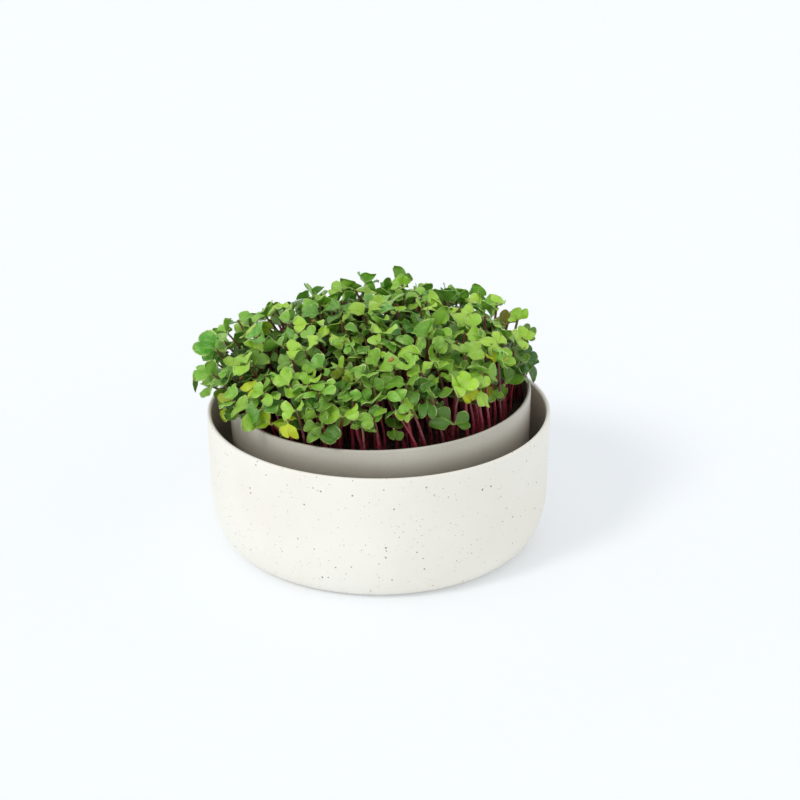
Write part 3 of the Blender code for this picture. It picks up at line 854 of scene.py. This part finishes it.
def free_place(plan, index, placed, obstacles, grow):
    """A plan's entry in the list of placed seedlings if it meets nothing, or None."""
    stem, *leaves = seedling_bodies(plan, grow)
    leaf_tree, stem_tree = tree_of(leaves), tree_of([stem])
    if any(tree.overlap(leaf_tree) or tree.overlap(stem_tree) for tree in obstacles):
        return None
    near = [other for other in placed if (other[1] - plan["tip"]).xy.length < SEEDLING_REACH]
    if any(leaf_tree.overlap(tree) for *_, leaves, stem in near for tree in (leaves, stem)):
        return None
    if any(stem_tree.overlap(leaves) for *_, leaves, _ in near):
        return None
    if any(stem_tree.overlap(stem) for owner, _, _, stem in near if owner != index):
        return None
    return (index, plan["tip"], leaf_tree, stem_tree)


def plan_crowns(crowns, obstacles, placed):
    """The seedlings of the solids, drawn tier by tier. Their leaves are then cut to their real size."""
    rng = random.Random(SEED)
    plans = [[] for _ in crowns]
    for tier in range(SEEDLINGS_PER_CROWN):
        for index, crown in enumerate(crowns):
            for _ in range(PLACING_TRIES):
                plan = draw_seedling(rng, crown, tier)
                trees = free_place(plan, index, placed, obstacles, SEEDLING_CLEARANCE)
                if trees:
                    placed.append(trees)
                    plans[index].append(plan)
                    break
    placed.clear()
    for index, group in enumerate(plans):
        for plan in group:
            for spec in plan["leaves"]:
                spec["width"] *= CROWN_LEAF_SHARE
            stem, *leaves = seedling_bodies(plan, FILLER_CLEARANCE)
            placed.append((index, plan["tip"], tree_of(leaves), tree_of([stem])))
    return plans


def plan_strays(crowns, placed, plans):
    """The seedlings that stand out at the edge."""
    into_tray = SEAT.inverted()
    for number, (foot, tip, bronze, leaves) in enumerate(STRAYS):
        spot = (foot[0] / 1000 - TRAY_SHIFT, foot[1] / 1000)
        owner = min(range(len(crowns)), key=lambda k: math.dist(spot, crowns[k]))
        specs = []
        for azimuth, rise, roll, width, fold, curl in leaves:
            specs.append(
                {
                    "azimuth": math.radians(azimuth),
                    "rise": math.radians(rise),
                    "roll": math.radians(roll),
                    "width": width / 1000,
                    "fold": fold,
                    "curl": curl,
                    "lean": 0.0,
                }
            )
        plan = {
            "base": Vector((*spot, medium_height(*spot) - FILLER_START_DEPTH)),
            "tip": into_tray @ (Vector(tip) / 1000),
            "phase": 0.0,
            "bronze": bronze,
            "leaves": specs,
        }
        stem, *blades = seedling_bodies(plan, FILLER_CLEARANCE)
        placed.append((FIRST_STRAY - number, plan["tip"], tree_of(blades), tree_of([stem])))
        plans[owner].append(plan)


def plan_fillers(crowns, obstacles, placed, plans):
    """The seedlings between the crowns. Each joins the bunch of its nearest crown."""
    rng = random.Random(SEED + 1)
    for number, spot in enumerate(spiral(FILLER_COUNT, FILLER_FIELD)):
        gaps = [math.dist(spot, crown) for crown in crowns]
        if min(gaps) < CROWN_KEEP_OUT:
            continue
        owner = gaps.index(min(gaps))
        spot = tuple(c + rng.uniform(-FILLER_JITTER, FILLER_JITTER) for c in spot)
        for _ in range(FILLER_TRIES):
            plan = draw_filler(rng, spot)
            trees = free_place(plan, -1 - number, placed, obstacles, FILLER_CLEARANCE)
            if trees:
                placed.append(trees)
                plans[owner].append(plan)
                break


def fine_outline():
    """The right edge of a leaf at LEAF_ROWS + 1 even steps, on a smooth curve through FINE_OUTLINE."""
    knots = np.array(FINE_OUTLINE)
    gaps = np.hypot(*np.diff(knots, axis=0).T)
    at = np.concatenate([[0.0], np.cumsum(gaps)])
    slopes = np.gradient(knots, at, axis=0)
    fine = np.linspace(0.0, at[-1], LEAF_ROWS + 1)
    slot = np.clip(np.searchsorted(at, fine, side="right") - 1, 0, len(gaps) - 1)
    h = gaps[slot][:, None]
    t = ((fine - at[slot]) / gaps[slot])[:, None]
    a, b = knots[slot], knots[slot + 1]
    ma, mb = slopes[slot] * h, slopes[slot + 1] * h
    curve = (2 * t**3 - 3 * t**2 + 1) * a + (t**3 - 2 * t**2 + t) * ma
    return curve + (3 * t**2 - 2 * t**3) * b + (t**3 - t**2) * mb


def leaf_net():
    """The leaf's flat net: the place of each point, its map and the faces of the closed blade."""
    edge = fine_outline()
    rows, columns = LEAF_ROWS + 1, NET_COLUMNS
    flat, chart = [], []
    for k in range(rows):
        along = k / LEAF_ROWS
        rib_u = LEAF_BASE[0] + (LEAF_NOTCH[0] - LEAF_BASE[0]) * along
        for c in range(columns):
            side = (c - LEAF_COLUMNS) / LEAF_COLUMNS
            share = abs(side) ** 0.85
            u = rib_u + (edge[k][0] - rib_u) * share
            flat.append((u, math.copysign(edge[k][1] * share, side)))
            chart.append((along, 0.5 + 0.5 * side))
    upper = []
    for k in range(rows - 1):
        for c in range(columns - 1):
            a = k * columns + c
            upper.append((a, a + columns, a + columns + 1, a + 1))
    count = rows * columns
    ring = list(range(columns)) + [k * columns + columns - 1 for k in range(1, rows)]
    ring += [(rows - 1) * columns + c for c in range(columns - 2, -1, -1)]
    ring += [k * columns for k in range(rows - 2, 0, -1)]
    faces = [tuple(reversed(face)) for face in upper] + [tuple(count + i for i in face) for face in upper]
    for a, b in zip(ring, ring[1:] + ring[:1]):
        faces.append((a, b, count + b, count + a))
    return np.array(flat), np.array(chart), faces


class Bunch:
    """Collects the stems, leaves and husks of one bunch into a single mesh."""

    def __init__(self):
        self.points = []
        self.faces = []
        self.marks = []
        self.charts = []
        self.tints = []
        self.count = 0

    def add(self, points, faces, mark, chart, tint):
        self.points.append(np.asarray(points, dtype=float))
        self.faces += [tuple(self.count + i for i in face) for face in faces]
        self.marks += [mark] * len(faces)
        self.charts.append(np.asarray(chart, dtype=float))
        tint = np.asarray(tint, dtype=float)
        self.tints.append(np.broadcast_to(tint, (len(points), 4)))
        self.count += len(points)

    def build(self, name, materials):
        obj = mesh_object(name, np.concatenate(self.points), self.faces, materials, self.marks)
        mesh = obj.data
        corners = np.empty(len(mesh.loops), dtype=np.int32)
        mesh.loops.foreach_get("vertex_index", corners)
        chart = mesh.uv_layers.new(name="blade")
        chart.data.foreach_set("uv", np.concatenate(self.charts)[corners].ravel())
        tint = mesh.color_attributes.new(name="tint", type="FLOAT_COLOR", domain="POINT")
        tint.data.foreach_set("color", np.concatenate(self.tints).ravel())
        mesh.transform(SEAT)
        return obj


def fine_leaf(bunch, net, root, spec, rng, tone):
    """A thin closed blade: folded, cupped and curled, with waved edges. Returns its upper points."""
    flat, chart, faces = net
    half = spec["width"] / 2
    length = spec["width"] * LEAF_LENGTH_SHARE
    u, v = flat[:, 0], flat[:, 1]
    off = np.abs(v)
    blade = np.clip((u - STALK_SHARE) / 0.3, 0.0, 1.0)
    fold = spec["fold"] + (rng.uniform(*STRONG_FOLD) if rng.random() < STRONG_FOLD_SHARE else 0.0)
    curl = spec["curl"] + (rng.uniform(*STRONG_CURL) if rng.random() < STRONG_CURL_SHARE else 0.0)
    cup = rng.uniform(*LEAF_CUP)
    waves = rng.uniform(*LEAF_WAVES)
    phase = rng.uniform(0, TURN)
    swing = rng.uniform(*WAVE_HEIGHT)
    ripple = np.sin(waves * TURN * chart[:, 0] + phase + 1.3 * np.sign(v)) * off**2 * swing
    ripple += np.sin(2.3 * waves * TURN * chart[:, 0] - phase) * off**4 * 0.45 * swing
    twist = rng.uniform(-LEAF_TWIST, LEAF_TWIST) * u * v
    bend = rng.uniform(*LOBE_BEND) + rng.uniform(-LOBE_UNEVEN, LOBE_UNEVEN) * np.sign(v)
    lobe = -0.60 * np.clip(u - 0.50, 0.0, 1.0) * off * bend
    skew = rng.uniform(-LEAF_SKEW, LEAF_SKEW) * v
    z = fold * off**1.25 + cup * off * (off - 1.0) * 1.6 - curl * u * u
    z = half * (z + (ripple + twist + lobe) * blade)
    thick = BLADE_THICKNESS + (STALK_THICKNESS - BLADE_THICKNESS) * np.clip(1 - u / STALK_SHARE, 0, 1) ** 0.7
    thick = thick * (1 - 0.35 * np.clip((off - 0.55) / 0.45, 0, 1) ** 2)
    frame = np.array(leaf_frame(root, spec))
    points = []
    for side in (0.5, -0.5):
        across = v * half * (1 - skew * 0.6)
        local = np.stack([u * length * (1 + skew), across, z + side * thick, np.ones_like(u)], axis=1)
        points.append((local @ frame.T)[:, :3])
    tints = np.tile(tone, (2 * len(u), 1))
    tints[len(u) :, 3] = 1.0
    bunch.add(np.concatenate(points), faces, LEAF, np.concatenate([chart, chart]), tints)
    return points[0]


def fine_stem(bunch, plan, rng, tone):
    """A round stem with a slight waver and a rounded tip."""
    path = stem_path(plan["base"], plan["tip"], FINE_STEM_STEPS)
    phase = rng.uniform(0, TURN)
    bend = rng.uniform(0.3, 1.0) * FINE_STEM_WAVER
    for k, point in enumerate(path):
        t = k / FINE_STEM_STEPS
        sway = bend * math.sin(math.pi * t) * math.sin(TURN * 1.2 * t + phase)
        point.x += sway * math.cos(phase)
        point.y += sway * math.sin(phase)
    scale = rng.uniform(0.85, 1.15)
    foot, top = FINE_STEM_RADIUS
    radii = [scale * (foot + (top - foot) * k / FINE_STEM_STEPS) for k in range(FINE_STEM_STEPS + 1)]
    tip = path[-1]
    for lift, share in ((0.0003, 0.85), (0.0005, 0.5)):
        path.append(tip + Vector((0, 0, lift)))
        radii.append(radii[FINE_STEM_STEPS] * share)
    points, chart = [], []
    last = len(path) - 1
    for k, (centre, radius) in enumerate(zip(path, radii)):
        for s in range(FINE_STEM_SIDES):
            a = TURN * s / FINE_STEM_SIDES
            points.append(centre + Vector((radius * math.cos(a), radius * math.sin(a), 0)))
            chart.append((k / last, s / FINE_STEM_SIDES))
    faces = []
    for k in range(last):
        for s in range(FINE_STEM_SIDES):
            t = (s + 1) % FINE_STEM_SIDES
            low, high = k * FINE_STEM_SIDES, (k + 1) * FINE_STEM_SIDES
            faces.append((low + s, low + t, high + t, high + s))
    faces.append(tuple(reversed(range(FINE_STEM_SIDES))))
    faces.append(tuple(last * FINE_STEM_SIDES + s for s in range(FINE_STEM_SIDES)))
    bunch.add(points, faces, STEM, chart, tone)


def add_husk(bunch, place, rng):
    """A crinkled seed husk that clings to a leaf: a thin half shell or, now and then, a whole pale seed."""
    whole = rng.random() < PALE_SEED_SHARE
    reach = math.pi * (0.96 if whole else 0.55)
    size = Vector(HUSK_SIZE) * rng.uniform(0.75, 1.15)
    phase = rng.uniform(0, TURN)
    rings = [(1.0, k / HUSK_ROWS) for k in range(HUSK_ROWS + 1)]
    if not whole:
        rings += [(HUSK_WALL, k / HUSK_ROWS) for k in range(HUSK_ROWS, -1, -1)]
    points, faces = [], []
    for wall, share in rings:
        dip = reach * (0.04 + 0.96 * share)
        for s in range(HUSK_SIDES):
            a = TURN * s / HUSK_SIDES
            radius = math.sin(dip) * wall * (1 + 0.14 * share * math.sin(3 * a + phase))
            x, y = radius * math.cos(a) * size.x, radius * math.sin(a) * size.y
            points.append(place @ Vector((x, y, math.cos(dip) * wall * size.z)))
    for k in range(len(rings) - 1):
        for s in range(HUSK_SIDES):
            t = (s + 1) % HUSK_SIDES
            upper, lower = k * HUSK_SIDES, (k + 1) * HUSK_SIDES
            faces.append((upper + s, lower + s, lower + t, upper + t))
    faces.append(tuple(range(HUSK_SIDES)))
    faces.append(tuple(len(points) - 1 - s for s in range(HUSK_SIDES)))
    tint = (rng.random(), 1.0 if whole else 0.0, 0.0, 0.0)
    bunch.add(points, faces, HUSK, [(0.0, 0.0)] * len(points), tint)


def turned_tone(rng, tip):
    """0 for a green seedling, up to 0.5 for a yellow one and on to 1 for bronze."""
    right = tip.x > TURNED_RIGHT_X
    if rng.random() > (TURNED_SHARE_RIGHT if right else TURNED_SHARE):
        return 0.0
    return rng.uniform(*(TURNED_TONE_RIGHT if right else TURNED_TONE))


def depth_tone(rng, tip):
    """How light a leaf is: painted shade deep in the canopy and painted light at the canopy's sides."""
    depth = canopy_height(tip.x, tip.y) - tip.z
    light = LEAF_LIGHT[0] + LEAF_LIGHT[1] * rng.random() - depth / SHADE_DEPTH
    return min(1.0, max(0.0, light + SIDE_LIGHT * (tip.x / CANOPY_RADIUS) ** 2))


def make_seedlings(plans, materials):
    net = leaf_net()
    rng = random.Random(SEED + 2)
    husk_rng = random.Random(SEED + 3)
    dressing = [materials["stem"], materials["leaf"], materials["husk"]]
    for index, group in enumerate(plans):
        bunch = Bunch()
        for plan in group:
            bronze = plan.get("bronze", turned_tone(husk_rng, plan["tip"]))
            # The second tone is the leaf's painted light and shade
            tone = (rng.random() ** 1.1, depth_tone(rng, plan["tip"]), bronze, 0.0)
            fine_stem(bunch, plan, rng, (rng.random(), rng.random(), 0.0, 0.0))
            root = plan["tip"] - Vector((0, 0, STEM_RADIUS[1]))
            for spec in plan["leaves"]:
                blade = fine_leaf(bunch, net, root, spec, rng, tone)
                if husk_rng.random() < HUSK_SHARE:
                    spin = Matrix.Rotation(husk_rng.uniform(0, TURN), 4, "Z")
                    turn = leaf_frame(root, spec).to_3x3().to_4x4() @ spin
                    add_husk(bunch, Matrix.Translation(blade[husk_rng.choice(HUSK_SPOTS)]) @ turn, husk_rng)
        number = index + 1
        piece = bunch.build(f"radish_bunch_{number:02d}", dressing)
        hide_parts(f"seedlings_{number:02d}")
        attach(piece, BODY)


def make_floor():
    edge = [(FLOOR_RADIUS, 0.0), (FLOOR_RADIUS, -FLOOR_THICKNESS)]
    points, faces = turned([(0, 0.0), *edge, (0, -FLOOR_THICKNESS)], 96)
    floor = mesh_object("floor", points, faces, [floor_material()])
    floor.data.shade_flat()


def make_light(name, place, angle, strength, colour):
    """A far, wide, soft light that shines from place towards the object."""
    data = bpy.data.lights.new(name, "SUN")
    data.angle = angle
    data.energy = strength
    data.color = colour
    light = bpy.data.objects.new(name, data)
    bpy.context.scene.collection.objects.link(light)
    light.location = place
    light.rotation_mode = "QUATERNION"
    light.rotation_quaternion = (-Vector(place)).to_track_quat("-Z", "Y")


def make_studio():
    world = bpy.data.worlds.new("studio")
    world.use_nodes = True
    background = world.node_tree.nodes["Background"]
    background.inputs["Color"].default_value = srgb("fbfdff")
    background.inputs["Strength"].default_value = WORLD_STRENGTH
    bpy.context.scene.world = world
    make_light("key", KEY_PLACE, KEY_ANGLE, KEY_STRENGTH, KEY_COLOUR)
    bpy.context.scene.view_settings.view_transform = "Standard"


def make_camera():
    data = bpy.data.cameras.new("camera")
    data.sensor_width = SENSOR_WIDTH
    data.lens = FOCAL_PIXELS / PICTURE_SIZE * SENSOR_WIDTH
    data.clip_start = 0.01
    camera = bpy.data.objects.new("camera", data)
    bpy.context.scene.collection.objects.link(camera)
    camera.location = CAMERA_PLACE
    camera.rotation_mode = "QUATERNION"
    camera.rotation_quaternion = (Vector(CAMERA_AIM) - Vector(CAMERA_PLACE)).to_track_quat("-Z", "Y")
    bpy.context.scene.camera = camera


def main():
    make_camera()
    make_studio()
    make_floor()
    materials = {
        "cream": bowl_outside_material(),
        # The bowl's inside is the tray's taupe painted lighter: painted light that lifts the shaded gap
        # between bowl and tray
        # The last number of each taupe is the strength of its painted shade low on the walls
        "inside": taupe_material("taupe_inside", "e2d8cb", "d5cabc", 0.45, 0.12),
        "tray": taupe_material("taupe", "c8c3b6", "b7b1a4", 0.33, 0.34),
        "medium": medium_material(),
        "stem": stem_material(),
        "leaf": leaf_material(),
        "husk": husk_material(),
    }
    for piece in (make_bowl(materials), make_tray(materials), make_medium(materials)):
        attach(piece, BODY)
    crowns = spiral(CROWN_COUNT, CROWN_FIELD)
    into_tray = SEAT.inverted()
    coarse_bowl, _ = bowl_profile(*COARSE_BOWL_STEPS)
    obstacles = [
        tree_of_profile(coarse_bowl, into_tray),
        tree_of_profile(tray_profile(*COARSE_TRAY_STEPS), Matrix.Identity(4)),
    ]
    placed = []
    plans = plan_crowns(crowns, obstacles, placed)
    plan_strays(crowns, placed, plans)
    plan_fillers(crowns, obstacles, placed, plans)
    make_seedlings(plans, materials)


main()
